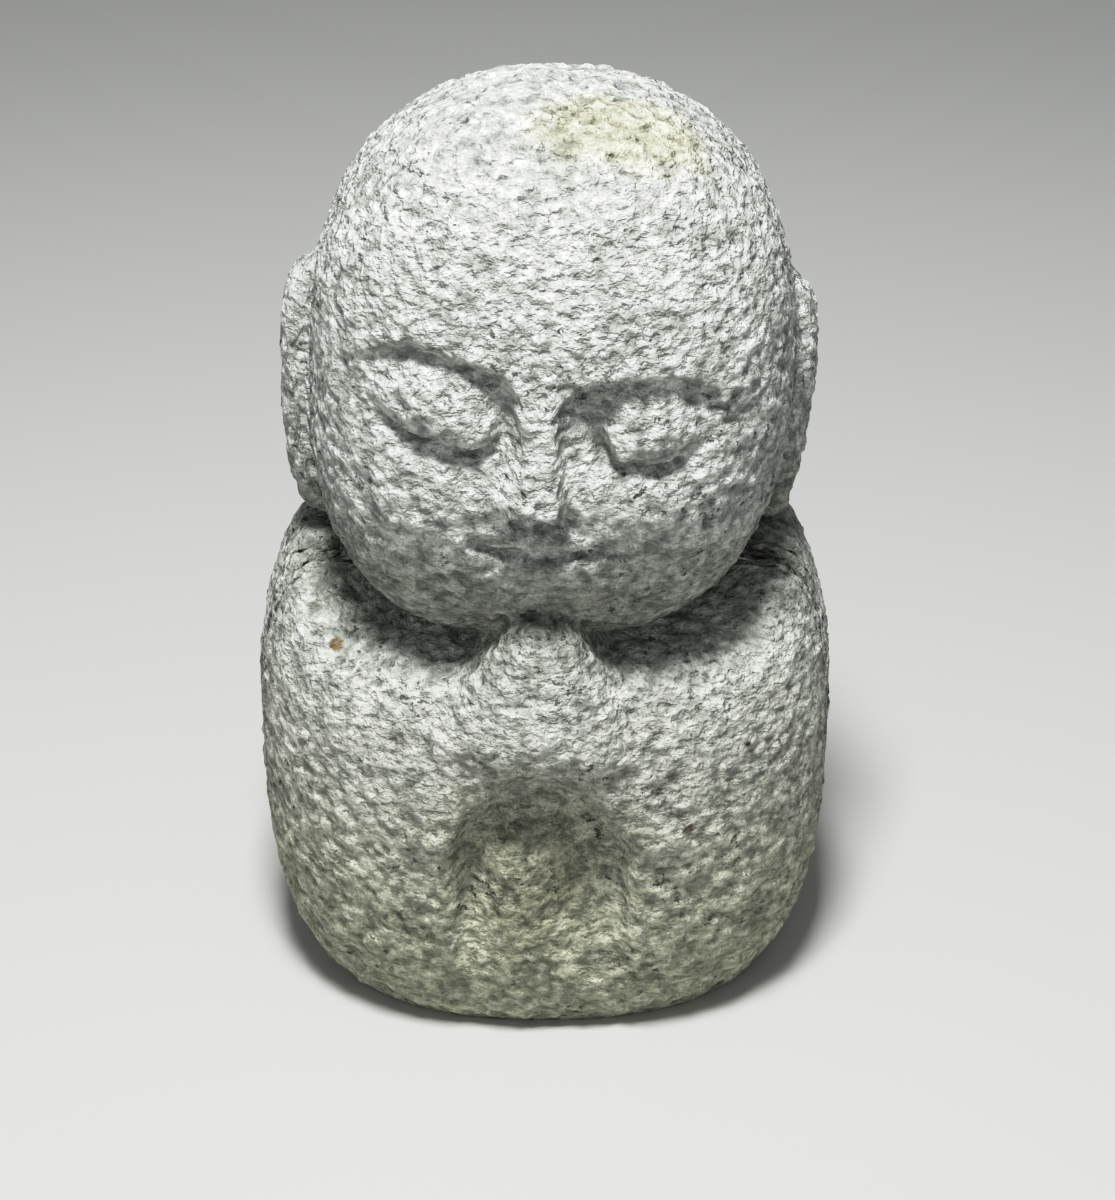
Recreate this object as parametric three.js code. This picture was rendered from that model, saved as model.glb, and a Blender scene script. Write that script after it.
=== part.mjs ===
// A small stone jizo statue: a bald, big-headed child monk with closed eyes and joined hands,
// carved from one block of granite. Millimetres, +Z up, the figure looks along -Y.
// The origin is on the flat underside, under the middle of the figure's width and depth.
//
// The whole figure is one field: a function of a point that is negative inside the stone. Each
// carved form is a field of its own, and soft joins blend them as a chisel leaves them. The skin
// is a sphere grid of three.js whose vertices are moved onto the field's surface.

import * as THREE from 'three';
import { mergeVertices } from 'three/addons/utils/BufferGeometryUtils.js';

// Whole figure
const HEIGHT = 121;

// Body: one barrel that holds robe, sleeves and shoulders
const BODY_WIDTH = 76;
const BODY_DEPTH = 65;
const BELLY_HEIGHT = 33;       // level of the widest section
const SHOULDER_HEIGHT = 71.5;  // where the barrel would close above
const BARREL_SINK = 8.5;       // how far below the underside it would close
const BODY_FORWARD = 0.4;      // middle of the barrel, in front of the origin
const BODY_PLAN = 2.4;         // squareness seen from above, 2 is round
const SHOULDER_PROFILE = 3.0;  // squareness of the shoulders
const HEM_PROFILE = 3.2;       // and of the hem

// Head
const HEAD_WIDTH = 60.2;
const HEAD_DEPTH = 61;
const CHIN_HEIGHT = 52.2;      // underside of the jaw, sunk in the body; the head fills the rest
const HEAD_OFFSET = 1.2;       // towards the figure's left
const HEAD_FORWARD = 1.0;
const JAW_DRIFT = 0.055;       // the jaw leans back to the right, per mm of drop
const FACE_PLAN = 2.7;         // squareness seen from above, at the face
const NAPE_PLAN = 2.15;        // and at the back
const CROWN_PROFILE = 2.5;
const JAW_PROFILE = 2.7;

// Ears: long upright slabs, flush with the cheeks. side is -1 at -X, reach is how far the ear
// stands out of the head, drop is its middle below the middle of the head, and lean is how much
// further out it goes for each mm up.
const EAR_DEPTH = 14;
const EAR_SETBACK = 1.8;
const EAR_ROOT = 1;            // sunk into the head
const EAR_FILLET = 1.8;
const RIGHT_EAR = { side: -1, height: 35, reach: 4.4, drop: 5.8, lean: 0 };
const LEFT_EAR = { side: 1, height: 32, reach: 2.6, drop: 8, lean: 0.09 };

// Arms and hands
const FOREARM_HEIGHT = 53.8;   // upper edge of the forearms at the front
const FOREARM_ROUND = 10;
const NECK_FILLET = 1.2;
const NECK_LOW = 49.6;         // the neck is looked for above this level
const LAP_RISE = 9.5;          // from there back to the neck
const SHOULDER_RISE = 4.5;     // and out to the shoulders
const HAND_HEIGHT = 62.4;      // flat top of the joined hands, under the chin
const HAND_TOP_WIDTH = 6.8;
const HAND_SPREAD_RIGHT = 0.72; // half-width gained for each mm further down
const HAND_SPREAD_LEFT = 0.5;
const HAND_FRONT = 29;         // how far forward the fingertips are
const HAND_SLOPE = 0.55;       // forward for each mm further down, at the fingertips
const HAND_CREST_DROP = 20;    // drop over which that slope turns upright
const HAND_CURVE = 18;         // roundness of the front, from side to side
const HAND_WIDEN = 12.5;       // drop that makes it twice as flat
const HAND_BACK = 6;           // the pyramid ends this far in front of the middle
const HAND_FOOT = 4.6;         // and this far above the arch of the hollow
const HAND_EDGE = 3.5;
const HAND_TOP_EDGE = 1.6;
const HAND_BACK_EDGE = 3;
const HAND_FOOT_EDGE = 8;
const HAND_FILLET = 2.6;

// Hollow of the robe between the sleeves
const HOLLOW_HEIGHT = 47.5;    // top of its arch
const HOLLOW_ARCH = 14.5;      // height of the arch
const HOLLOW_WIDTH = 23.2;
const HOLLOW_DEPTH = 4.2;
const HOLLOW_FOOT = 4;         // level where it has died away
const HOLLOW_FADE = 22;        // height over which it dies away
const ROBE_OFFSET = -3.2;      // the robe swells in it, nearer to its right side
const ROBE_WIDTH = 5.4;
const ROBE_DROP = 8.5;         // from here below the top of the arch
const ROBE_RISE = 9;           // and takes this much to do so
const SLEEVE_SWELL = 0.8;      // of the sleeves' edges beside it
const SLEEVE_FOOT = 27;        // level where the sleeves end
const SLEEVE_FADE = 5;

// Carving of the face, in mm of relief
const SOCKET_DEPTH = 2.2;
const CORNER_DEPTH = 1.1;      // more at the inner corner
const LID_SWELL = 2.2;
const LID_CREASE = 1.0;
const NOSE_RISE = 2.9;
const NOSE_HOLLOW = 1.0;       // under the tip
const MOUTH_DEPTH = 0.9;
const LIP_SWELL = 0.4;
const CHEEK_SWELL = 0.9;

// Places and widths on the face are shares of half the head: across its width, and up its height.
// inner is the side of the nose, slant turns the eye's inner corner down, in degrees, and the lid
// lies nearer to the outer corner of its socket by aside.
const RIGHT_EYE = {
  across: -0.455, up: 0.178, inner: 1, slant: 13, width: 0.32, height: 0.168, lid: 0.29, aside: 0.015,
};
const LEFT_EYE = {
  across: 0.36, up: 0.1, inner: -1, slant: -1, width: 0.31, height: 0.162, lid: 0.225, aside: 0.05,
};
const NOSE_ACROSS = -0.05;
const MOUTH_UP = -0.42;

// Facets
const COLUMNS = 86;
const ROWS = 57;
const HEAD_ROWS = 35;          // down to the neck
const BASE_RINGS = 2;
const PROFILE_RAYS = 260;
const FRONT_CROWDING = 0.46;   // columns stand closer together at the face
const FACE_CROWDING = 2.2;     // and so do rows
const SOFTENED_RAYS = 3;       // the carving is averaged over so many rays up and down

const STONE = { color: 0xb9bfbb, roughness: 0.93, metalness: 0 };

const headHalfWidth = HEAD_WIDTH / 2;
const headHalfDepth = HEAD_DEPTH / 2;
const headHalfHeight = (HEIGHT - CHIN_HEIGHT) / 2;
const headLevel = HEIGHT - headHalfHeight;
const bodyHalfWidth = BODY_WIDTH / 2;
const bodyHalfDepth = BODY_DEPTH / 2;

// Small functions that shape the fields

const clamp = (value, low, high) => Math.min(Math.max(value, low), high);

// 0 below 0, 1 above 1, with a soft start and end
function ease(value) {
  const t = clamp(value, 0, 1);
  return t * t * (3 - 2 * t);
}

// A soft hump of height 1 at 0
const hump = (distance, width) => Math.exp(-((distance / width) ** 2));

// Union and intersection of two fields with a fillet of about the given radius
function join(a, b, fillet) {
  const h = clamp(0.5 + (0.5 * (b - a)) / fillet, 0, 1);
  return b + (a - b) * h - fillet * h * (1 - h);
}
const trim = (a, b, fillet) => -join(-a, -b, fillet);

// Egg: an ellipsoid whose plan and profile can be squarer than round
function egg(x, y, z, size) {
  const round = y < 0 ? size.front : size.back;
  const plan = (Math.abs(x / size.x) ** round + Math.abs(y / size.y) ** round) ** (1 / round);
  const power = z > 0 ? size.upper : size.lower;
  const height = Math.abs(z) / (z > 0 ? size.up : size.down);
  const share = Math.max((plan ** power + height ** power) ** (1 / power), 1e-6);
  return Math.hypot(x, y, z) * (1 - 1 / share);
}

// The face: heights of the carving over the plain head

// A closed eye, sunk sharply under the brow and gently into the cheek, with a swollen lid.
// ring is 0 in the eye's middle and 1 on the outline of the socket, which is a slanted ellipse.
function eyeRelief(across, up, eye) {
  const angle = THREE.MathUtils.degToRad(eye.slant);
  const inwards = eye.inner * (across - eye.across);
  const above = up - eye.up;
  const along = inwards * Math.cos(angle) - above * Math.sin(angle);
  const over = (inwards * Math.sin(angle) + above * Math.cos(angle)) / eye.height;
  const ring = Math.hypot(along / eye.width, over);
  const lower = ease(0.5 - 0.9 * over);
  const temple = 1 - 0.55 * ease((-along / eye.width - 0.35) / 0.8);
  const brow = ease((1.14 - ring) / 0.4);
  const cheek = 0.5 * ease((1.75 - ring) / 1.15);
  const corner = CORNER_DEPTH * ease(along / eye.width - 0.1);
  const sunk = (SOCKET_DEPTH + corner) * (brow * (1 - lower) + cheek * lower) * temple;
  const rim = Math.hypot((along + eye.aside) / eye.lid, over / 0.94);
  const outer = ease(-along / eye.width - 0.1);
  const lid = LID_SWELL * clamp(1 - rim ** 2, 0, 1) ** (1.15 - 0.5 * lower * (1 - outer));
  const edge = hump(rim - 1.03, rim < 1.03 ? 0.1 : 0.25);
  return lid - sunk - LID_CREASE * edge * lower * (1 - 0.9 * outer);
}

// A low ridge that widens and rises to its tip, then ends in a step over a small hollow. Its left
// flank is the steeper one.
function noseRelief(across, up) {
  const bridge = 0.3;
  const tip = -0.15;
  const along = clamp((bridge - up) / (bridge - tip), 0, 1);
  const side = across - NOSE_ACROSS;
  const halfWidth = (0.07 + 0.032 * along ** 1.6) * (side < 0 ? 1.25 : 0.95);
  const ends = ease((up + 0.275) / 0.09) * ease((bridge + 0.05 - up) / 0.3);
  const rise = NOSE_RISE * (0.2 + 0.8 * along) * ends;
  const hollow = NOSE_HOLLOW * hump(side, 0.12) * hump(up + 0.295, 0.045);
  return rise * ease((1.65 - Math.abs(side) / halfWidth) / 1.25) - hollow;
}

// A smiling groove that turns up at its right corner, a low lip below it and the cheeks
function mouthRelief(across, up) {
  const side = Math.abs(across - NOSE_ACROSS);
  const smile = (across < -0.1 ? 1.1 : 0.15) * (across + 0.1) ** 2;
  const groove = hump(up - MOUTH_UP - smile, 0.03);
  const grooveEnds = ease((0.33 - Math.abs(across + 0.04)) / 0.18);
  const lip = LIP_SWELL * hump(up - MOUTH_UP + 0.08, 0.07) * ease((0.29 - side) / 0.17);
  const cheek = CHEEK_SWELL * hump(Math.hypot((side - 0.46) / 0.27, (up + 0.25) / 0.17), 1);
  return lip + cheek - MOUTH_DEPTH * groove * grooveEnds;
}

function carving(across, up) {
  const eyes = eyeRelief(across, up, RIGHT_EYE) + eyeRelief(across, up, LEFT_EYE);
  return eyes + noseRelief(across, up) + mouthRelief(across, up);
}

// The parts of the figure as fields

const HEAD_SIZE = {
  x: headHalfWidth,
  y: headHalfDepth,
  up: headHalfHeight,
  down: headHalfHeight,
  front: FACE_PLAN,
  back: NAPE_PLAN,
  upper: CROWN_PROFILE,
  lower: JAW_PROFILE,
};

function headField(x, y, z, carved) {
  const skull = egg(x + JAW_DRIFT * Math.max(-z, 0), y, z, HEAD_SIZE);
  const front = ease((-y - 0.2 * headHalfDepth) / (0.33 * headHalfDepth));
  if (!carved || front === 0) return skull;
  return skull - front * carving(x / headHalfWidth, z / headHalfHeight);
}

function earField(x, y, z, ear) {
  const size = {
    x: ear.reach + EAR_ROOT,
    y: EAR_DEPTH / 2,
    up: ear.height / 2,
    down: ear.height / 2,
    front: 2.8,
    back: 2.2,
    upper: 3.2,
    lower: 2.7,
  };
  const upright = ear.side * (x - ear.lean * (z + ear.drop));
  return egg(upright - headHalfWidth + EAR_ROOT, y - EAR_SETBACK, z + ear.drop, size);
}

const BODY_SIZE = {
  x: bodyHalfWidth,
  y: bodyHalfDepth,
  up: SHOULDER_HEIGHT - BELLY_HEIGHT,
  down: BELLY_HEIGHT + BARREL_SINK,
  front: BODY_PLAN,
  back: BODY_PLAN,
  upper: SHOULDER_PROFILE,
  lower: HEM_PROFILE,
};

// The barrel, cut down in front of the neck so that the forearms are left as a ledge
function torsoField(x, y, z) {
  const back = ease((y + 0.72 * bodyHalfDepth) / bodyHalfDepth);
  const out = ease((Math.abs(x) / bodyHalfWidth - 0.6) / 0.28);
  const lap = FOREARM_HEIGHT + LAP_RISE * back + SHOULDER_RISE * out;
  return trim(egg(x, y, z - BELLY_HEIGHT, BODY_SIZE), 0.9 * (z - lap), FOREARM_ROUND);
}

// Joined hands: a flat-topped pyramid that leans forward and melts into the sleeves
function handField(x, y, z) {
  const down = clamp(HAND_HEIGHT - z, 0, HAND_HEIGHT - HOLLOW_HEIGHT);
  const halfWidth = HAND_TOP_WIDTH / 2 + (x < 0 ? HAND_SPREAD_RIGHT : HAND_SPREAD_LEFT) * down;
  const front = HAND_FRONT + HAND_SLOPE * down * (1 - down / (2 * HAND_CREST_DROP));
  const sides = 0.85 * (Math.abs(x) - halfWidth);
  const face = (x * x) / (HAND_CURVE * (1 + down / HAND_WIDEN)) - (y + front);
  const pyramid = trim(trim(sides, face, HAND_EDGE), z - HAND_HEIGHT, HAND_TOP_EDGE);
  const footed = trim(pyramid, HOLLOW_HEIGHT - HAND_FOOT - z, HAND_FOOT_EDGE);
  return trim(footed, y + HAND_BACK, HAND_BACK_EDGE);
}

// Depth of the hollow under the arch of the sleeves, less the swell of the sleeves' edges. The arch
// is half of an ellipse over upright sides, rounder on the right: inside is 1 on its middle line
// and 0 on its edge.
function hollowDepth(x, y, z) {
  const above = Math.max(z - (HOLLOW_HEIGHT - HOLLOW_ARCH), 0) / HOLLOW_ARCH;
  const side = Math.abs(x) / (HOLLOW_WIDTH / 2);
  const point = x < 0 ? 2 : 1.5;
  const inside = 1 - (side ** point + above ** point) ** (1 / point);
  const slope = 0.36 * (1 - above) + 0.8 * above;
  const front = ease((-y - 0.37 * bodyHalfDepth) / (0.25 * bodyHalfDepth));
  const swell = hump(x - ROBE_OFFSET, ROBE_WIDTH) * ease((HOLLOW_HEIGHT - z - ROBE_DROP) / ROBE_RISE);
  const fade = ease((z - HOLLOW_FOOT) / HOLLOW_FADE);
  const depth = HOLLOW_DEPTH * ease(inside / slope) * fade * (1 - 0.8 * swell);
  const sleeves = hump(inside + 0.2, 0.25) * ease((z - SLEEVE_FOOT) / SLEEVE_FADE) * (1 - above);
  return front * (depth - SLEEVE_SWELL * sleeves);
}

// The whole figure, or its plain forms without the face and the hollow
function figureField(x, y, z, carved) {
  const hx = x - HEAD_OFFSET;
  const hy = y + HEAD_FORWARD;
  const hz = z - headLevel;
  const ears = Math.min(earField(hx, hy, hz, RIGHT_EAR), earField(hx, hy, hz, LEFT_EAR));
  const head = join(headField(hx, hy, hz, carved), ears, EAR_FILLET);
  const arms = join(torsoField(x, y + BODY_FORWARD, z), handField(x, y, z), HAND_FILLET);
  const body = carved ? arms + hollowDepth(x, y, z) : arms;
  return join(head, body, NECK_FILLET);
}

// From the field to a skin

// Distance from the start to the outermost crossing of the field along a direction
function reach(start, direction, carved) {
  const far = BODY_WIDTH;
  const step = far / 108;
  const isInside = (r) => {
    const p = start.clone().addScaledVector(direction, r);
    return figureField(p.x, p.y, p.z, carved) < 0;
  };
  let inside = far;
  while (inside > 0 && !isInside(inside)) inside -= step;
  let outside = inside + step;
  for (let i = 0; i < 14; i++) {
    const middle = (inside + outside) / 2;
    if (isInside(middle)) inside = middle;
    else outside = middle;
  }
  return (inside + outside) / 2;
}

// The outline of the figure in one half-plane, from the crown down to the edge of the underside.
// Level rays find it up to the middle of the head, and a fan of rays over the crown.
function profile(heading, carved) {
  const points = [];
  for (let i = 0; i <= PROFILE_RAYS; i++) {
    const share = i / PROFILE_RAYS;
    const fan = Math.max(1 - share / 0.3, 0) * (Math.PI / 2);
    const level = Math.min((1 - share) / 0.7, 1) * headLevel;
    const start = new THREE.Vector3(0, 0, level);
    const direction = heading.clone().multiplyScalar(Math.cos(fan));
    direction.z = Math.sin(fan);
    points.push(start.addScaledVector(direction, reach(start, direction, carved)));
  }
  return points;
}

// A carved profile whose difference from the plain one is averaged over neighbouring rays, so that
// no facet catches a groove narrower than itself
function softened(plain, carved) {
  return plain.map((point, i) => {
    const sum = new THREE.Vector3();
    let weights = 0;
    for (let j = -SOFTENED_RAYS; j <= SOFTENED_RAYS; j++) {
      const k = clamp(i + j, 0, plain.length - 1);
      const weight = SOFTENED_RAYS + 1 - Math.abs(j);
      sum.addScaledVector(carved[k], weight).addScaledVector(plain[k], -weight);
      weights += weight;
    }
    return point.clone().addScaledVector(sum, 1 / weights);
  });
}

// Number of the ray where a profile is drawn in most, between the shoulders and the cheeks
function neckRay(points) {
  let neck = 0;
  let least = Infinity;
  points.forEach((point, i) => {
    const radius = Math.hypot(point.x, point.y);
    const between = point.z > NECK_LOW && point.z < headLevel - 0.4 * headHalfHeight;
    if (between && radius < least) {
      least = radius;
      neck = i;
    }
  });
  return neck;
}

// Ray numbers, with fractions, that part a stretch of profile into even lengths, though closer
// together on the face
function evenRays(points, first, last, count) {
  const along = [0];
  for (let i = first + 1; i <= last; i++) {
    const face = hump(points[i].z - headLevel, 0.6 * headHalfHeight);
    const step = points[i].distanceTo(points[i - 1]) * (1 + FACE_CROWDING * face);
    along.push(along[along.length - 1] + step);
  }
  const rays = [];
  let k = 1;
  for (let i = 0; i <= count; i++) {
    const wanted = (along[along.length - 1] * i) / count;
    while (k < along.length - 1 && along[k] < wanted) k++;
    rays.push(first + k - 1 + clamp((wanted - along[k - 1]) / (along[k] - along[k - 1]), 0, 1));
  }
  return rays;
}

// The point of a profile at a ray number with a fraction
function pointAt(points, ray) {
  const i = Math.min(Math.floor(ray), points.length - 2);
  return points[i].clone().lerp(points[i + 1], ray - i);
}

// The statue: every vertex of a sphere grid goes to its place on the profiles. The rows are spaced
// on the plain forms, so that they run smoothly across the carving.
function statueGeometry() {
  const skin = new THREE.SphereGeometry(1, COLUMNS, ROWS);
  const position = skin.getAttribute('position');
  const sideRows = ROWS - BASE_RINGS;
  for (let column = 0; column <= COLUMNS; column++) {
    const even = (2 * Math.PI * (column % COLUMNS)) / COLUMNS;
    const angle = even + FRONT_CROWDING * Math.cos(even);
    const heading = new THREE.Vector3(-Math.cos(angle), -Math.sin(angle), 0);
    const plain = profile(heading, false);
    const carved = softened(plain, profile(heading, true));
    const neck = neckRay(plain);
    const bodyRays = evenRays(plain, neck, PROFILE_RAYS, sideRows - HEAD_ROWS);
    const rays = evenRays(plain, 0, neck, HEAD_ROWS).concat(bodyRays.slice(1));
    for (let row = 0; row <= ROWS; row++) {
      const below = Math.max(row - sideRows, 0) / BASE_RINGS;
      const point = pointAt(carved, rays[Math.min(row, sideRows)]);
      if (row >= sideRows) point.z = 0;
      if (row === 0) point.setX(0).setY(0);
      if (below > 0) point.setX(point.x * (1 - below)).setY(point.y * (1 - below));
      position.setXYZ(row * (COLUMNS + 1) + column, point.x, point.y, point.z);
    }
  }
  skin.deleteAttribute('normal');
  skin.deleteAttribute('uv');
  const merged = mergeVertices(skin, 1e-3);
  merged.computeBoundingBox();
  const middle = merged.boundingBox.getCenter(new THREE.Vector3());
  merged.translate(-middle.x, -middle.y, 0);
  merged.computeVertexNormals();
  return merged;
}

const statue = new THREE.Mesh(statueGeometry(), new THREE.MeshStandardMaterial(STONE));
statue.name = 'jizo_statue';

const part = new THREE.Group();
part.add(statue);

export default part;
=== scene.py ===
"""A small stone jizo statue on a pale floor: a bald child monk with closed eyes and joined hands,
carved from one block of light grey granite and finished with a bush hammer.

The carved form is one field, a function of a point that is negative inside the stone. It is made of
the same forms as the solid, with the chest, the hollow and the face carved a little finer. Its
surface is found on a grid of columns around the figure and rows from the crown to the foot, and the
hammered grain is then laid over it along the normals. Forms are worked out in millimetres and become
metres where the mesh is made.
"""

import math

import bpy
import numpy as np
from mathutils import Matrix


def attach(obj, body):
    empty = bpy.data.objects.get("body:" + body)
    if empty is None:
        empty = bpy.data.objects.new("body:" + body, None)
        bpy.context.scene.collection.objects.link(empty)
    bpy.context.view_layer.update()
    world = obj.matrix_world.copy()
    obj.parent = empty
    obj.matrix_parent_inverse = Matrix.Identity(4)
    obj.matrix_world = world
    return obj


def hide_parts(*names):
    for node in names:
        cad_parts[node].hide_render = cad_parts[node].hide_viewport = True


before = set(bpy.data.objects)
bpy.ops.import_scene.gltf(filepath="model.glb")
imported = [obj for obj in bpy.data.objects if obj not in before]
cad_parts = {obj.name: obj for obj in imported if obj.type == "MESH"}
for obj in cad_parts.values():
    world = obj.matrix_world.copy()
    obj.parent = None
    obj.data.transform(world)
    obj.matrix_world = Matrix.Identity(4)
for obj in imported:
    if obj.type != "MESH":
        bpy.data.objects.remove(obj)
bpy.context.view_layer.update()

METRES = 0.001

# Whole figure
HEIGHT = 121.0

# Body: one barrel that holds robe, sleeves and shoulders. A plan or profile of 2 is round, and a
# higher one is squarer. The barrel would close BARREL_SINK below the ground.
BODY_WIDTH = 76.0
BODY_DEPTH = 65.0
BELLY_HEIGHT = 33.0
SHOULDER_HEIGHT = 71.5
BARREL_SINK = 8.5
BODY_FORWARD = 0.4
BODY_PLAN = 2.4
SHOULDER_PROFILE = 3.0
HEM_PROFILE = 3.2

# Head. The jaw leans aside by JAW_DRIFT for each mm down. The face is carved from FACE_START of half
# the depth forwards, and to its full depth FACE_SPAN further on.
HEAD_WIDTH = 60.2
HEAD_DEPTH = 61.0
CHIN_HEIGHT = 52.2
HEAD_OFFSET = 1.2
HEAD_FORWARD = 1.0
JAW_DRIFT = 0.055
FACE_PLAN = 2.7
NAPE_PLAN = 2.15
CROWN_PROFILE = 2.5
JAW_PROFILE = 2.7
FACE_START = 0.2
FACE_SPAN = 0.33

# Ears: slabs whose middle lies EAR_ROOT inside the side of the head. Their powers are front, back,
# upper and lower.
EAR_DEPTH = 14.0
EAR_SETBACK = 1.8
EAR_ROOT = 1.0
EAR_FILLET = 1.8
EAR_POWERS = (2.8, 2.2, 3.2, 2.7)
RIGHT_EAR = {"side": -1, "height": 35.0, "reach": 4.4, "drop": 5.8, "lean": 0.0}
LEFT_EAR = {"side": 1, "height": 32.0, "reach": 2.6, "drop": 8.0, "lean": 0.09}

# Forearms and shoulders: the body is cut off at the forearms' height, and the cut rises to the back
# and to the sides. Starts and spans are shares of half the body. The chest leans back, by up to
# CHEST_LEAN at the forearms' height, from CHEST_FOOT up.
FOREARM_HEIGHT = 53.8
FOREARM_ROUND = 8.0
LAP_SLOPE = 0.9
LAP_START = 0.72
LAP_RISE = 9.5
SHOULDER_START = 0.6
SHOULDER_SPAN = 0.28
SHOULDER_RISE = 4.5
CHEST_LEAN = 2.2
CHEST_FOOT = 28.0
CHEST_START = 0.3
CHEST_SPAN = 0.5
NECK_FILLET = 0.6
NECK_LOW = 49.6

# Joined hands. Half of their width grows by the spread for each mm down. Their front stands out by
# HAND_FRONT at the top, where it moves out by HAND_SLOPE for each mm down, and by less further down.
HAND_HEIGHT = 62.4
HAND_TOP_WIDTH = 6.8
HAND_SPREAD_RIGHT = 0.72
HAND_SPREAD_LEFT = 0.5
HAND_SIDE_SLOPE = 0.85
HAND_FRONT = 29.6
HAND_SLOPE = 0.55
HAND_CREST_DROP = 20.0
HAND_CURVE = 18.0
HAND_WIDEN = 12.5
HAND_BACK = 6.0
HAND_FOOT = 4.6
HAND_EDGE = 3.5
HAND_TOP_EDGE = 1.6
HAND_BACK_EDGE = 3.0
HAND_FOOT_EDGE = 8.0
HAND_FILLET = 1.7

# Hollow of the robe between the sleeves. Its arch is the more pointed the lower the arch's power is,
# and a wall is the share of the way to the middle line that the slope from the edge takes.
HOLLOW_HEIGHT = 45.2
HOLLOW_WIDTH = 25.4
HOLLOW_DEPTH = 5.2
HOLLOW_FOOT = 4.0
HOLLOW_FADE = 22.0
HOLLOW_ARCH = 14.5
HOLLOW_START = 0.37
HOLLOW_SPAN = 0.25
RIGHT_ARCH = 1.6
LEFT_ARCH = 1.35
RIGHT_WALL = 0.24
LEFT_WALL = 0.36
TOP_WALL = 0.8
ROBE_SWELL = 0.8
ROBE_OFFSET = -3.2
ROBE_WIDTH = 5.4
ROBE_DROP = 8.5
ROBE_RISE = 9.0
SLEEVE_SWELL = 0.8
SLEEVE_PLACE = 0.2
SLEEVE_WIDTH = 0.25
SLEEVE_FOOT = 27.0
SLEEVE_FADE = 5.0

# Carving of the face: relief in mm, places and widths as shares of half the head.
# inner is the side of the nose, slant turns the eye's inner corner down, in degrees, and the lid
# lies nearer to the outer corner of its socket by aside. A nose's half is half of its width.
SOCKET_DEPTH = 2.5
CORNER_DEPTH = 1.1
LID_SWELL = 2.2
LID_CREASE = 1.4
NOSE_RISE = 4.3
NOSE_HOLLOW = 2.4
MOUTH_DEPTH = 1.3
LIP_SWELL = 0.5
CHEEK_SWELL = 0.9
RIGHT_EYE = {
    "across": -0.455, "up": 0.178, "inner": 1, "slant": 13,
    "width": 0.32, "height": 0.168, "lid": 0.29, "aside": 0.015,
}
LEFT_EYE = {
    "across": 0.36, "up": 0.1, "inner": -1, "slant": -1,
    "width": 0.31, "height": 0.162, "lid": 0.225, "aside": 0.05,
}
NOSE_ACROSS = -0.05
NOSE_BRIDGE = 0.3
NOSE_TIP = -0.15
NOSE_TOP_HALF = 0.07
NOSE_TIP_HALF = 0.105
MOUTH_ACROSS = -0.04
MOUTH_UP = -0.40
MOUTH_REACH = 0.33

# Grid of the skin. Columns crowd towards the front, and CROWN_SHARE of a column's rays fan over the
# crown. The neck is looked for up to NECK_TOP of half the head below the head's middle, and its row
# is averaged over NECK_COLUMNS on either side.
COLUMNS = 330
HEAD_ROWS = 170
BODY_ROWS = 120
BASE_RINGS = 12
PROFILE_RAYS = 800
CROWN_SHARE = 0.3
FRONT_CROWDING = 0.30
NECK_COLUMNS = 8
NECK_TOP = 0.4

# Search for the skin, in mm: the radius that holds the whole figure, the step of a walking ray, how
# often its crossing is halved, how often and how far a point then settles onto the surface, and the
# step by which the field's slope is measured
SEARCH_RADIUS = 44
SEARCH_STEP = 0.6
HALVINGS = 11
SETTLINGS = 2
SETTLE_REACH = 0.5
SLOPE_STEP = 0.08

# Hammered grain, in mm: wide swells, dents of the hammer's teeth and small chips. The teeth ran
# sideways, so the grain is wider than tall by the stroke's share. A warp bends the rows of dents,
# DENT_LEVEL is a point's usual distance from a dent's middle, NOISE_GAIN brings noise to about 1, and
# the grain fades out over FOOT_CLEAR towards the flat underside.
STROKE = 0.8
SWELL_WIDTH = 5.2
SWELL_DEPTH = 0.28
DENT_WIDTH = 1.9
DENT_DEPTH = 0.5
CHIP_WIDTH = 1.1
CHIP_DEPTH = 0.5
WARP_WIDTH = 2.6
WARP_REACH = 0.5
DENT_LEVEL = 0.6
NOISE_GAIN = 2.6
FOOT_CLEAR = 1.5

# Colours of the stone, from the dark grains to the bruised ones, by the share of their noise
STONE_TONES = [(0.37, "#969a94"), (0.45, "#b9bcb6"), (0.53, "#d8dad4"), (0.61, "#edefea")]
CRUMB_COLOUR = "#90918c"
# The next colour is painted shade, laid in the hammer's dents where the grain sinks the skin
DENT_SHADE_COLOUR = "#868782"
MICA_COLOUR = "#5f635e"

# Widths of the patterns of the stone, in mm
PATCH_WIDTH = 1.7
CRUMB_WIDTH = 0.5
MICA_WIDTH = 1.0
CLUSTER_WIDTH = 7.0
RAGGED_WIDTH = 3.0
GRIT_WIDTH = 1.1
FLAKE_WIDTH = 1.2
BUMP_HEIGHT = 1.5

# Regions that are full of mica, the hands and the brow: centre and radii in mm
MICA_REGIONS = [
    ((1.4, -30.0, 57.0), (4.5, 8.0, 9.0)),
    ((-1.5, -31.0, 96.5), (15.0, 9.0, 6.0)),
]

# Damp that warms the stone from DAMP_TOP down to DAMP_FULL, in mm, and wide marks: painted shade in the
# fold of the neck under the head, and stains in the hollow of the robe and on the crown: centre and
# radii in mm, and colour
DAMP_TOP = 66
DAMP_FULL = 8
DAMP_COLOUR = "#eeedda"
STAINS_AND_SHADE = [
    # Painted shade: a darker grey in the fold of the neck, where the head's shade falls
    ((0.0, -2.0, 64.0), (58.0, 44.0, 14.0), "#dbdcd6"),
    ((-1.0, -33.0, 29.0), (17.0, 12.0, 21.0), "#dfded6"),
    ((9.6, -9.0, 119.0), (14.0, 10.0, 8.0), "#f7f2dd"),
]

# Single marks on the stone: place and radius in mm, and colour
MARKS = [
    ((-26.4, -17.4, 53.8), 1.2, "#84745a"),
    ((25.7, -24.8, 43.2), 0.8, "#262826"),
    ((18.4, -29.4, 33.5), 1.1, "#75685c"),
]

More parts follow.
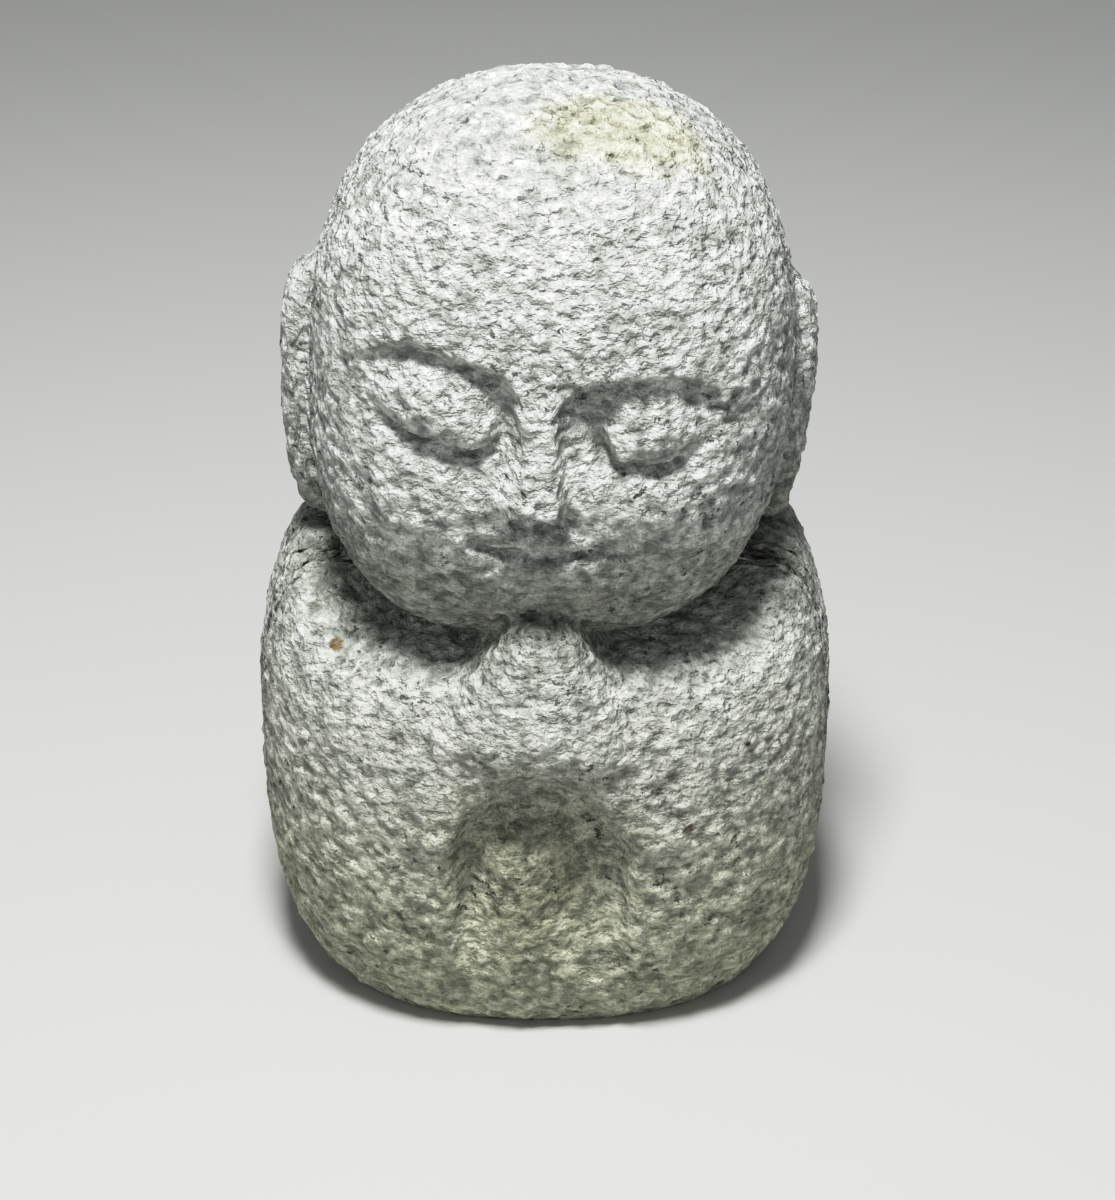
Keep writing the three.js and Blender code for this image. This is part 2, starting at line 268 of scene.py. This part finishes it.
# Floor and light: a light's place and target, its side in metres and its power in watts
FLOOR_REACH = 3.0
FLOOR_COLOUR = "#bcbcb9"
LIGHTS = {
    "overhead": ((-0.022, -0.14, 0.5), (0, 0, 0.05), 0.09, 3.5),
    "front fill": ((-0.1, -0.55, 0.12), (0, 0, 0.04), 0.4, 0.38),
}
ROOM_COLOUR = "#dfe3e6"
ROOM_STRENGTH = 0.34

# Tone of the photograph: points of the view's curve
TONE_POINTS = [(0.045, 0.030), (0.188, 0.165), (0.305, 0.300), (0.456, 0.490), (0.716, 0.735)]
TONE_END = (1.0, 0.87)

# The photograph is 1115 by 1200 pixels and was taken from above, about 36 cm from the statue's middle
PHOTO_HEIGHT = 1200
FOCAL_PIXELS = 2720
SENSOR = 36.0
CAMERA_PLACE = (0.0017, -0.3123, 0.2307)
CAMERA_PITCH = math.radians(30)

head_half_width = HEAD_WIDTH / 2
head_half_depth = HEAD_DEPTH / 2
head_half_height = (HEIGHT - CHIN_HEIGHT) / 2
head_level = HEIGHT - head_half_height
body_half_width = BODY_WIDTH / 2
body_half_depth = BODY_DEPTH / 2


# Small functions that shape the fields

def ease(value):
    """0 below 0 and 1 above 1, with a soft start and end."""
    t = np.clip(value, 0, 1)
    return t * t * (3 - 2 * t)


def hump(distance, width):
    """A soft hump, 1 at distance 0: e to the minus (distance / width) squared."""
    return np.exp(-((distance / width) ** 2))


def join(a, b, fillet):
    """Union of two fields, with a fillet of about the given radius between them."""
    h = np.clip(0.5 + 0.5 * (b - a) / fillet, 0, 1)
    return b + (a - b) * h - fillet * h * (1 - h)


def trim(a, b, fillet):
    """Intersection of two fields, with its edge rounded."""
    return -join(-a, -b, fillet)


def egg(x, y, z, half, powers):
    """An ellipsoid whose plan and profile can be squarer than round.

    The plan radius is (|x/hx|^p + |y/hy|^p)^(1/p), with p from the front or the back power, and
    it is joined with |z/hz| in the same way by the upper or the lower power.
    """
    half_x, half_y, half_up, half_down = half
    front, back, upper, lower = powers
    round_plan = np.where(y < 0, front, back)
    plan = (np.abs(x / half_x) ** round_plan + np.abs(y / half_y) ** round_plan) ** (1 / round_plan)
    power = np.where(z > 0, upper, lower)
    height = np.abs(z) / np.where(z > 0, half_up, half_down)
    share = np.maximum((plan ** power + height ** power) ** (1 / power), 1e-6)
    return np.sqrt(x * x + y * y + z * z) * (1 - 1 / share)


# The face

def eye_relief(across, up, eye):
    """A closed eye: sunk sharply under the brow and gently into the cheek, with a swollen lid.

    ring is 0 in the eye's middle and 1 on the outline of the socket, a slanted ellipse that is
    squarer towards the nose. rim is the same for the lid.
    """
    angle = math.radians(eye["slant"])
    inwards = eye["inner"] * (across - eye["across"])
    above = up - eye["up"]
    along = inwards * math.cos(angle) - above * math.sin(angle)
    over = (inwards * math.sin(angle) + above * math.cos(angle)) / eye["height"]
    square = 2 + 1.2 * ease(2 * along / eye["width"] + 0.5)
    ring = (np.abs(along / eye["width"]) ** square + np.abs(over) ** square) ** (1 / square)
    lower = ease(0.5 - 0.9 * over)
    temple = 1 - 0.55 * ease((-along / eye["width"] - 0.35) / 0.8)
    brow = ease((1.14 - ring) / 0.4)
    cheek = 0.5 * ease((1.75 - ring) / 1.15)
    corner = CORNER_DEPTH * ease(along / eye["width"] - 0.1)
    painted_dent_shade = (SOCKET_DEPTH + corner) * (brow * (1 - lower) + cheek * lower) * temple
    beside = np.abs(along + eye["aside"]) / eye["lid"]
    rim = (beside ** square + np.abs(over / 0.94) ** square) ** (1 / square)
    outer = ease((-along / eye["width"] - 0.2) / 0.6)
    lid = LID_SWELL * np.clip(1 - rim ** 2, 0, 1) ** (1.15 + 0.5 * outer - 0.5 * lower * (1 - outer))
    edge = hump(rim - 1.03, np.where(rim < 1.03, 0.1, 0.25))
    crease = LID_CREASE * edge * lower * (1 - 0.9 * outer)
    return lid - painted_dent_shade - crease


def nose_relief(across, up):
    """A low ridge that widens and rises to its tip, then ends in a step over a small hollow.

    Its left flank, at +X, is the steeper one.
    """
    along = np.clip((NOSE_BRIDGE - up) / (NOSE_BRIDGE - NOSE_TIP), 0, 1)
    side = across - NOSE_ACROSS
    half_width = NOSE_TOP_HALF + (NOSE_TIP_HALF - NOSE_TOP_HALF) * along ** 1.6
    ends = ease((up - NOSE_TIP + 0.1) / 0.07) * ease((NOSE_BRIDGE + 0.05 - up) / 0.3)
    rise = NOSE_RISE * (0.25 + 0.75 * along) * ends
    hollow = NOSE_HOLLOW * hump(side, 0.11) * hump(up - NOSE_TIP + 0.12, 0.042)
    gentle = ease((2.1 + side / half_width) / 1.6)
    steep = ease((1.15 - side / half_width) / 0.6)
    return rise * gentle * steep - hollow


def mouth_relief(across, up):
    """A smiling groove that turns up at its right corner, a low lip below it and the cheeks."""
    side = np.abs(across - NOSE_ACROSS)
    smile = np.where(across < -0.1, 1.1, 0.15) * (across + 0.1) ** 2
    groove = hump(up - MOUTH_UP - smile, 0.024)
    groove_ends = ease((MOUTH_REACH - np.abs(across - MOUTH_ACROSS)) / 0.12)
    lip = LIP_SWELL * hump(up - MOUTH_UP + 0.08, 0.07) * ease((0.29 - side) / 0.17)
    cheek = CHEEK_SWELL * hump(np.hypot((side - 0.46) / 0.27, (up + 0.25) / 0.17), 1)
    return lip + cheek - MOUTH_DEPTH * groove * groove_ends


def head_field(x, y, z):
    """The skull as an egg whose jaw leans aside, less the relief of the face on its front."""
    half = (head_half_width, head_half_depth, head_half_height, head_half_height)
    powers = (FACE_PLAN, NAPE_PLAN, CROWN_PROFILE, JAW_PROFILE)
    skull = egg(x + JAW_DRIFT * np.maximum(-z, 0), y, z, half, powers)
    across = x / head_half_width
    up = z / head_half_height
    front = ease((-y - FACE_START * head_half_depth) / (FACE_SPAN * head_half_depth))
    eyes = eye_relief(across, up, RIGHT_EYE) + eye_relief(across, up, LEFT_EYE)
    carved = eyes + nose_relief(across, up) + mouth_relief(across, up)
    return skull - front * carved


def ear_field(x, y, z, ear):
    """A long upright slab at one side of the head."""
    half = (ear["reach"] + EAR_ROOT, EAR_DEPTH / 2, ear["height"] / 2, ear["height"] / 2)
    upright = ear["side"] * (x - ear["lean"] * (z + ear["drop"]))
    outwards = upright - head_half_width + EAR_ROOT
    return egg(outwards, y - EAR_SETBACK, z + ear["drop"], half, EAR_POWERS)


# The body

def torso_field(x, y, z):
    """The barrel, cut down in front of the neck so that the forearms are left as a ledge.

    Its front leans back a little more than a barrel's, from the chest's foot up.
    """
    back = ease((y + LAP_START * body_half_depth) / body_half_depth)
    out = ease((np.abs(x) / body_half_width - SHOULDER_START) / SHOULDER_SPAN)
    lap = FOREARM_HEIGHT + LAP_RISE * back + SHOULDER_RISE * out
    half = (body_half_width, body_half_depth, SHOULDER_HEIGHT - BELLY_HEIGHT, BELLY_HEIGHT + BARREL_SINK)
    barrel = egg(x, y, z - BELLY_HEIGHT, half, (BODY_PLAN, BODY_PLAN, SHOULDER_PROFILE, HEM_PROFILE))
    front = ease((-y / body_half_depth - CHEST_START) / CHEST_SPAN)
    leant = CHEST_LEAN * front * np.clip((z - CHEST_FOOT) / (FOREARM_HEIGHT - CHEST_FOOT), 0, 1) ** 2
    return trim(barrel + leant, LAP_SLOPE * (z - lap), FOREARM_ROUND)


def hand_field(x, y, z):
    """Joined hands: a flat-topped pyramid that leans forward and melts into the sleeves."""
    down = np.clip(HAND_HEIGHT - z, 0, HAND_HEIGHT - HOLLOW_HEIGHT)
    spread = np.where(x < 0, HAND_SPREAD_RIGHT, HAND_SPREAD_LEFT)
    half_width = HAND_TOP_WIDTH / 2 + spread * down
    front = HAND_FRONT + HAND_SLOPE * down * (1 - down / (2 * HAND_CREST_DROP))
    sides = HAND_SIDE_SLOPE * (np.abs(x) - half_width)
    face = x * x / (HAND_CURVE * (1 + down / HAND_WIDEN)) - (y + front)
    pyramid = trim(trim(sides, face, HAND_EDGE), z - HAND_HEIGHT, HAND_TOP_EDGE)
    footed = trim(pyramid, HOLLOW_HEIGHT - HAND_FOOT - z, HAND_FOOT_EDGE)
    return trim(footed, y + HAND_BACK, HAND_BACK_EDGE)


def hollow_depth(x, y, z):
    """Depth of the hollow under the arch of the sleeves, less the swell of the sleeves' edges.

    The arch is half of a pointed ellipse over upright sides: inside is 1 on its middle line and 0
    on its edge. The slope from the edge is steepest on the figure's right, and the robe swells in
    the hollow.
    """
    above = np.maximum(z - (HOLLOW_HEIGHT - HOLLOW_ARCH), 0) / HOLLOW_ARCH
    side = np.abs(x) / (HOLLOW_WIDTH / 2)
    point = np.where(x < 0, RIGHT_ARCH, LEFT_ARCH)
    inside = 1 - (side ** point + above ** point) ** (1 / point)
    wall = np.where(x < 0, RIGHT_WALL, LEFT_WALL) * (1 - above) + TOP_WALL * above
    front = ease((-y - HOLLOW_START * body_half_depth) / (HOLLOW_SPAN * body_half_depth))
    drop = HOLLOW_HEIGHT - z
    robe = 1 - ROBE_SWELL * hump(x - ROBE_OFFSET, ROBE_WIDTH) * ease((drop - ROBE_DROP) / ROBE_RISE)
    depth = HOLLOW_DEPTH * ease(inside / wall) * ease((z - HOLLOW_FOOT) / HOLLOW_FADE) * robe
    sleeve = hump(inside + SLEEVE_PLACE, SLEEVE_WIDTH) * ease((z - SLEEVE_FOOT) / SLEEVE_FADE)
    return front * (depth - SLEEVE_SWELL * sleeve * (1 - above))


def figure_field(x, y, z):
    """The whole carving: the head with its ears, joined softly to the body."""
    hx = x - HEAD_OFFSET
    hy = y + HEAD_FORWARD
    hz = z - head_level
    ears = np.minimum(ear_field(hx, hy, hz, RIGHT_EAR), ear_field(hx, hy, hz, LEFT_EAR))
    head = join(head_field(hx, hy, hz), ears, EAR_FILLET)
    body = join(torso_field(x, y + BODY_FORWARD, z), hand_field(x, y, z), HAND_FILLET)
    return join(head, body + hollow_depth(x, y, z), NECK_FILLET)


# From the field to a skin

def cast(start, direction):
    """Points where rays from far outside, aimed back at start, first meet the surface.

    Each ray is walked inwards by steps until the field is negative, then halved onto the crossing.
    """
    inside = np.zeros(start.shape[:-1])
    outside = np.full(inside.shape, BODY_WIDTH)
    waiting = np.ones(inside.shape, bool)
    for radius in np.arange(SEARCH_RADIUS, 0, -SEARCH_STEP):
        p = start[waiting] + direction[waiting] * radius
        hit = np.zeros_like(waiting)
        hit[waiting] = figure_field(p[:, 0], p[:, 1], p[:, 2]) < 0
        inside[hit] = radius
        outside[hit] = radius + SEARCH_STEP
        waiting &= ~hit
    for _ in range(HALVINGS):
        middle = (inside + outside) / 2
        p = start + direction * middle[..., None]
        within = figure_field(p[..., 0], p[..., 1], p[..., 2]) < 0
        inside = np.where(within, middle, inside)
        outside = np.where(within, outside, middle)
    return start + direction * outside[..., None]


def profiles():
    """One outline per column, from the crown to the foot: array of columns by rays by 3.

    Level rays find it up to the middle of the head, and a fan of rays over the crown.
    """
    even = 2 * np.pi * np.arange(COLUMNS) / COLUMNS
    angle = (even + FRONT_CROWDING * np.cos(even))[:, None]
    share = np.linspace(0, 1, PROFILE_RAYS)[None, :]
    fan = np.maximum(1 - share / CROWN_SHARE, 0) * (np.pi / 2) + 0 * angle
    level = np.minimum((1 - share) / (1 - CROWN_SHARE), 1) * head_level + 0 * angle
    start = np.stack([0 * level, 0 * level, level], -1)
    direction = np.stack([-np.cos(angle) * np.cos(fan), -np.sin(angle) * np.cos(fan), np.sin(fan)], -1)
    return cast(start, direction)


def neck_rows(outline):
    """For each column, the ray where the outline is drawn in most between shoulders and cheeks.

    It is averaged over the columns around, which lessens its jumps from column to column.
    """
    radius = np.hypot(outline[..., 0], outline[..., 1])
    low = outline[..., 2] > NECK_LOW
    high = outline[..., 2] < head_level - NECK_TOP * head_half_height
    rays = np.argmin(np.where(low & high, radius, np.inf), axis=1)
    spread = range(-NECK_COLUMNS, NECK_COLUMNS + 1)
    return np.round(np.mean([np.roll(rays, k) for k in spread], axis=0)).astype(int)


def evened(stretch, count):
    """count + 1 points at equal steps of length along one stretch of outline."""
    step = np.linalg.norm(np.diff(stretch, axis=0), axis=1)
    along = np.concatenate([[0], np.cumsum(step)])
    wanted = np.linspace(0, along[-1], count + 1)
    return np.stack([np.interp(wanted, along, stretch[:, k]) for k in range(3)], 1)


def skin_grid():
    """The smooth skin: rows by columns by 3, from the crown to the edge of the underside."""
    outline = profiles()
    necks = neck_rows(outline)
    columns = []
    for points, neck in zip(outline, necks):
        head = evened(points[: neck + 1], HEAD_ROWS)
        body = evened(points[neck:], BODY_ROWS)
        columns.append(np.concatenate([head, body[1:]]))
    return np.stack(columns, 1)


def gradient(points):
    """The field's value, the outward normal, which is its unit gradient by central steps, and how
    steeply the field rises along it."""
    slope = []
    for axis in range(3):
        shift = np.zeros(3)
        shift[axis] = SLOPE_STEP
        ahead = points + shift
        behind = points - shift
        rise = figure_field(*np.moveaxis(ahead, -1, 0)) - figure_field(*np.moveaxis(behind, -1, 0))
        slope.append(rise / (2 * SLOPE_STEP))
    slope = np.stack(slope, -1)
    steepness = np.maximum(np.linalg.norm(slope, axis=-1, keepdims=True), 1e-6)
    return figure_field(*np.moveaxis(points, -1, 0))[..., None], slope / steepness, steepness


# Hammered grain

def random_at(cell, seed):
    """A random number from 0 to 1 for each whole-number cell, the same on every run."""
    n = cell.astype(np.int64).astype(np.uint32)
    mixed = n[..., 0] * np.uint32(0x8DA6B343) ^ n[..., 1] * np.uint32(0xD8163841)
    mixed = mixed ^ n[..., 2] * np.uint32(0xCB1AB31F) ^ np.uint32(seed * 0x165667B1 & 0xFFFFFFFF)
    mixed = (mixed ^ (mixed >> np.uint32(15))) * np.uint32(0x85EBCA6B)
    mixed = (mixed ^ (mixed >> np.uint32(13))) * np.uint32(0xC2B2AE35)
    return (mixed ^ (mixed >> np.uint32(16))) / 4294967295.0


def noise(points, width, seed):
    """Gradient noise with waves of the given width, from about -1 to 1.

    Each corner of the cell around a point holds a random slope, and the slopes' heights at the
    point are blended with a quintic ease.
    """
    scaled = points / width
    cell = np.floor(scaled)
    inner = scaled - cell
    blend = inner ** 3 * (inner * (inner * 6 - 15) + 10)
    total = 0
    for corner in np.ndindex(2, 2, 2):
        offset = np.array(corner, float)
        at = cell + offset
        slope = np.stack([random_at(at, 3 * seed + k) - 0.5 for k in range(3)], -1)
        height = ((inner - offset) * slope).sum(-1)
        weight = np.prod(np.where(offset > 0, blend, 1 - blend), axis=-1)
        total = total + weight * height
    return total * NOISE_GAIN


def dents(points, width, seed):
    """Chisel dents: each point's distance to the nearest of scattered centres, in dent widths.

    One centre lies at a random place in every cell; the result is 0 in a dent and about 1 on a ridge.
    """
    scaled = points / width
    cell = np.floor(scaled)
    nearest = np.full(points.shape[:-1], 9.0)
    for corner in np.ndindex(3, 3, 3):
        at = cell + np.array(corner, float) - 1
        centre = at + np.stack([random_at(at, 3 * seed + k) for k in range(3)], -1)
        nearest = np.minimum(nearest, ((scaled - centre) ** 2).sum(-1))
    return np.sqrt(nearest)


def hammered(points):
    """Height of the hammered grain in mm: wide swells, then dents, then small chips."""
    strokes = points * np.array([STROKE, STROKE, 1])
    warp = np.stack([noise(strokes, WARP_WIDTH, seed) for seed in (11, 12, 13)], -1)
    moved = strokes + WARP_REACH * warp
    swell = SWELL_DEPTH * noise(points, SWELL_WIDTH, 21)
    dent = DENT_DEPTH * (dents(moved, DENT_WIDTH, 22) - DENT_LEVEL)
    chip = CHIP_DEPTH * noise(moved, CHIP_WIDTH, 23)
    return swell + dent + chip


def statue_points():
    """The skin with its grain, and how far each point is sunk or raised by the grain.

    The points first settle onto the surface, each along its normal, and the box of the smooth skin
    is brought over the origin.
    """
    grid = skin_grid()
    for _ in range(SETTLINGS):
        value, normal, steepness = gradient(grid)
        grid = grid - normal * np.clip(value / steepness, -SETTLE_REACH, SETTLE_REACH)
    value, normal, steepness = gradient(grid)
    middle = (grid.min((0, 1)) + grid.max((0, 1))) / 2
    middle[2] = 0
    grid = grid - middle
    height = hammered(grid) * ease(grid[..., 2] / FOOT_CLEAR)
    grid = grid + normal * height[..., None]
    grid[..., 2] = np.maximum(grid[..., 2], 0)
    grid[-1, :, 2] = 0
    return grid, height


def statue_mesh():
    """Quads between neighbouring rows and columns, a fan at the crown and rings on the underside."""
    grid, height = statue_points()
    edge = grid[-1]
    rings = [edge * (1 - k / BASE_RINGS) for k in range(1, BASE_RINGS)]
    rows = np.concatenate([grid[1:], np.stack(rings)])
    crown = grid[0].mean(0)
    foot = np.zeros(3)
    points = np.concatenate([rows.reshape(-1, 3), [crown, foot]]) * METRES
    count = len(rows)
    row = np.arange(count - 1)[:, None]
    column = np.arange(COLUMNS)[None, :]
    after = (column + 1) % COLUMNS
    quads = np.stack(np.broadcast_arrays(
        row * COLUMNS + column,
        (row + 1) * COLUMNS + column,
        (row + 1) * COLUMNS + after,
        row * COLUMNS + after,
    ), -1).reshape(-1, 4)
    ring = np.arange(COLUMNS)
    following = (ring + 1) % COLUMNS
    last = (count - 1) * COLUMNS
    top = np.stack([np.full(COLUMNS, count * COLUMNS), ring, following], 1)
    bottom = np.stack([np.full(COLUMNS, count * COLUMNS + 1), last + following, last + ring], 1)
    mesh = bpy.data.meshes.new("jizo_carving")
    mesh.from_pydata(points.tolist(), [], quads.tolist() + top.tolist() + bottom.tolist())
    mesh.update()
    mesh.shade_smooth()
    relief = np.zeros(len(points), np.float32)
    relief[: (len(grid) - 1) * COLUMNS] = height[1:].ravel()
    mesh.attributes.new("grain_height", "FLOAT", "POINT").data.foreach_set("value", relief)
    return mesh


# Materials

def linear(hex_colour):
    """An sRGB hex colour as linear red, green, blue and alpha."""
    parts = [int(hex_colour[i:i + 2], 16) / 255 for i in (1, 3, 5)]
    flat = [c / 12.92 if c <= 0.04045 else ((c + 0.055) / 1.055) ** 2.4 for c in parts]
    return (*flat, 1.0)


def add(tree, kind, links=None, **settings):
    """Adds a node. links gives sockets their sources, inputs gives sockets their plain values, and the
    other settings are the node's properties."""
    node = tree.nodes.new(kind)
    for name, value in settings.items():
        if name == "inputs":
            for socket, number in value.items():
                node.inputs[socket].default_value = number
        else:
            setattr(node, name, value)
    for socket, source in (links or {}).items():
        tree.links.new(source, node.inputs[socket])
    return node


def ramp(tree, source, stops):
    """A colour ramp over source with (position, hex colour) stops."""
    node = add(tree, "ShaderNodeValToRGB", {"Fac": source})
    while len(node.color_ramp.elements) < len(stops):
        node.color_ramp.elements.new(0.5)
    for element, (position, colour) in zip(node.color_ramp.elements, stops):
        element.position = position
        element.color = linear(colour)
    return node.outputs["Color"]


def soft_step(tree, source, low, high):
    """A number that runs softly from 0 to 1 while source runs from low to high, or down to high."""
    node = add(tree, "ShaderNodeMapRange", {"Value": source}, interpolation_type="SMOOTHSTEP",
               inputs={"From Min": low, "From Max": high})
    return node.outputs["Result"]


def cloud(tree, place, width, detail=4.0, roughness=0.6, distortion=0.0):
    """Fractal noise from 0 to 1 with waves of the given width in mm, over a place in mm."""
    node = add(tree, "ShaderNodeTexNoise", {"Vector": place}, inputs={
        "Scale": 1 / width, "Detail": detail, "Roughness": roughness, "Distortion": distortion})
    return node.outputs["Fac"]


def times(tree, a, b):
    """Product of two numbers; b may be a plain value."""
    if isinstance(b, (int, float)):
        return add(tree, "ShaderNodeMath", {0: a}, operation="MULTIPLY", inputs={1: b}).outputs[0]
    return add(tree, "ShaderNodeMath", {0: a, 1: b}, operation="MULTIPLY").outputs[0]


def tint(tree, base, colour, share, blend="MIX"):
    """An sRGB hex colour laid over base where share is 1. Sockets 0, 6 and 7 are a colour mix's
    share, lower and upper colour, and its result is output 2."""
    node = add(tree, "ShaderNodeMix", {0: share, 6: base}, data_type="RGBA", blend_type=blend,
               inputs={7: linear(colour)})
    return node.outputs[2]


def near(tree, place, centre, radii, ragged):
    """1 in the inner half of an ellipsoid, falling to 0 at its edge, which a noise makes ragged.

    The noise is 0.5 on average, so the fade from 1 to 1.5 runs from half of the radii to all of them.
    """
    offset = add(tree, "ShaderNodeVectorMath", {0: place}, operation="SUBTRACT", inputs={1: centre})
    share = add(tree, "ShaderNodeVectorMath", {0: offset.outputs[0]}, operation="DIVIDE",
                inputs={1: radii})
    distance = add(tree, "ShaderNodeVectorMath", {0: share.outputs[0]}, operation="LENGTH")
    edge = add(tree, "ShaderNodeMath", {0: distance.outputs["Value"], 1: ragged}, operation="ADD")
    return soft_step(tree, edge.outputs[0], 1.5, 1.0)


def granite():
    """Bush-hammered granite: bruised white crystals, grey quartz and black mica, no polish, with painted
    shade in the hammer's dents and in the fold of the neck.

    Every pattern of grains is noise over the object's own mm, squeezed so that it lies wider than
    tall. Mica shows in clusters, and everywhere in the mica regions.
    """
    material = bpy.data.materials.new("hammered_granite")
    material.use_nodes = True
    tree = material.node_tree
    shader = tree.nodes["Principled BSDF"]
    metres = add(tree, "ShaderNodeTexCoord").outputs["Object"]
    place = add(tree, "ShaderNodeVectorMath", {0: metres}, operation="MULTIPLY",
                inputs={1: [1 / METRES] * 3}).outputs[0]
    strokes = add(tree, "ShaderNodeVectorMath", {0: place}, operation="MULTIPLY",
                  inputs={1: (STROKE, STROKE, 1)}).outputs[0]

    patches = cloud(tree, strokes, PATCH_WIDTH, detail=6.0, roughness=0.66, distortion=0.3)
    colour = ramp(tree, patches, STONE_TONES)
    crumbs = soft_step(tree, cloud(tree, strokes, CRUMB_WIDTH, detail=3.0), 0.5, 0.36)
    colour = tint(tree, colour, CRUMB_COLOUR, times(tree, crumbs, 0.5))
    relief = add(tree, "ShaderNodeAttribute", attribute_name="grain_height").outputs["Fac"]
    # Painted shade: the stone turns darker where the grain sinks the skin, in the hammer's dents
    painted_dent_shade = soft_step(tree, relief, 0.05, -0.5)
    colour = tint(tree, colour, DENT_SHADE_COLOUR, times(tree, painted_dent_shade, 0.7))

    ragged = cloud(tree, place, RAGGED_WIDTH, roughness=0.7)
    clusters = soft_step(tree, cloud(tree, place, CLUSTER_WIDTH, detail=2.0), 0.46, 0.62)
    for centre, radii in MICA_REGIONS:
        region = near(tree, place, centre, radii, ragged)
        clusters = add(tree, "ShaderNodeMath", {0: clusters, 1: region}, operation="MAXIMUM").outputs[0]
    mica = soft_step(tree, cloud(tree, strokes, MICA_WIDTH, roughness=0.66), 0.56, 0.64)
    colour = tint(tree, colour, MICA_COLOUR, times(tree, mica, clusters))

    height = add(tree, "ShaderNodeSeparateXYZ", {0: place}).outputs["Z"]
    damp = soft_step(tree, height, DAMP_TOP, DAMP_FULL)
    colour = tint(tree, colour, DAMP_COLOUR, damp, "MULTIPLY")
    # The stains, and the painted shade in the fold of the neck
    for centre, radii, stain_or_shade in STAINS_AND_SHADE:
        colour = tint(tree, colour, stain_or_shade, near(tree, place, centre, radii, ragged), "MULTIPLY")
    for centre, radius, mark in MARKS:
        radii = (radius, 2 * radius, radius)
        colour = tint(tree, colour, mark, near(tree, place, centre, radii, ragged))
    tree.links.new(colour, shader.inputs["Base Color"])
    shader.inputs["Roughness"].default_value = 0.9
    shader.inputs["IOR"].default_value = 1.54

    grit = times(tree, cloud(tree, strokes, GRIT_WIDTH), 1.6)
    flakes = add(tree, "ShaderNodeTexVoronoi", {"Vector": strokes}, inputs={"Scale": 1 / FLAKE_WIDTH})
    rough = add(tree, "ShaderNodeMath", {0: flakes.outputs["Distance"], 2: grit},
                operation="MULTIPLY_ADD", inputs={1: 0.55})
    bump = add(tree, "ShaderNodeBump", {"Height": rough.outputs[0]},
               inputs={"Strength": 1.0, "Distance": BUMP_HEIGHT * METRES})
    tree.links.new(bump.outputs["Normal"], shader.inputs["Normal"])
    return material


def floor_paint():
    """Pale matt paint, rolled on: it takes a soft shadow and hardly shines."""
    material = bpy.data.materials.new("pale_paint")
    material.use_nodes = True
    shader = material.node_tree.nodes["Principled BSDF"]
    shader.inputs["Base Color"].default_value = linear(FLOOR_COLOUR)
    shader.inputs["Roughness"].default_value = 0.7
    return material


# The piece

def make_statue():
    """The whole carving as one piece, in place of the solid."""
    statue = bpy.data.objects.new("jizo_carving", statue_mesh())
    bpy.context.scene.collection.objects.link(statue)
    statue.data.materials.append(granite())
    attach(statue, "root")
    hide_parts("jizo_statue")


# Floor, light and camera

def make_floor():
    """A wide plain square that the statue stands on."""
    mesh = bpy.data.meshes.new("floor")
    corners = [(x * FLOOR_REACH, y * FLOOR_REACH, 0) for x, y in ((-1, -1), (1, -1), (1, 1), (-1, 1))]
    mesh.from_pydata(corners, [], [(0, 1, 2, 3)])
    floor = bpy.data.objects.new("floor", mesh)
    bpy.context.scene.collection.objects.link(floor)
    mesh.materials.append(floor_paint())


def add_light(name, place, target, size, power):
    """A square soft light, aimed at the target."""
    lamp = bpy.data.lights.new(name, "AREA")
    lamp.shape = "SQUARE"
    lamp.size = size
    lamp.energy = power
    light = bpy.data.objects.new(name, lamp)
    bpy.context.scene.collection.objects.link(light)
    light.location = place
    aim = np.array(target) - np.array(place)
    light.rotation_euler = (
        math.atan2(math.hypot(aim[0], aim[1]), -aim[2]),
        0,
        math.atan2(-aim[0], aim[1]),
    )


def make_lights():
    """One light above and in front, a weak one low in front, and the pale room around."""
    for name, (place, target, size, power) in LIGHTS.items():
        add_light(name, place, target, size, power)
    world = bpy.data.worlds.new("room")
    bpy.context.scene.world = world
    world.use_nodes = True
    background = world.node_tree.nodes["Background"]
    background.inputs["Color"].default_value = linear(ROOM_COLOUR)
    background.inputs["Strength"].default_value = ROOM_STRENGTH


def make_camera():
    """The photograph's viewpoint: above and in front, turned down to the statue."""
    lens = bpy.data.cameras.new("camera")
    lens.sensor_width = SENSOR
    lens.lens = FOCAL_PIXELS / PHOTO_HEIGHT * SENSOR
    lens.clip_start = 0.01
    camera = bpy.data.objects.new("camera", lens)
    bpy.context.scene.collection.objects.link(camera)
    camera.location = CAMERA_PLACE
    camera.rotation_euler = (math.pi / 2 - CAMERA_PITCH, 0, 0)
    bpy.context.scene.camera = camera


def set_tone():
    """The plain view transform with the photograph's contrast, on the curve of all three colours."""
    view = bpy.context.scene.view_settings
    view.view_transform = "Standard"
    view.use_curve_mapping = True
    tone = view.curve_mapping.curves[3]
    for x, y in TONE_POINTS:
        tone.points.new(x, y)
    tone.points[-1].location = TONE_END
    view.curve_mapping.update()


make_statue()
make_floor()
make_lights()
make_camera()
set_tone()
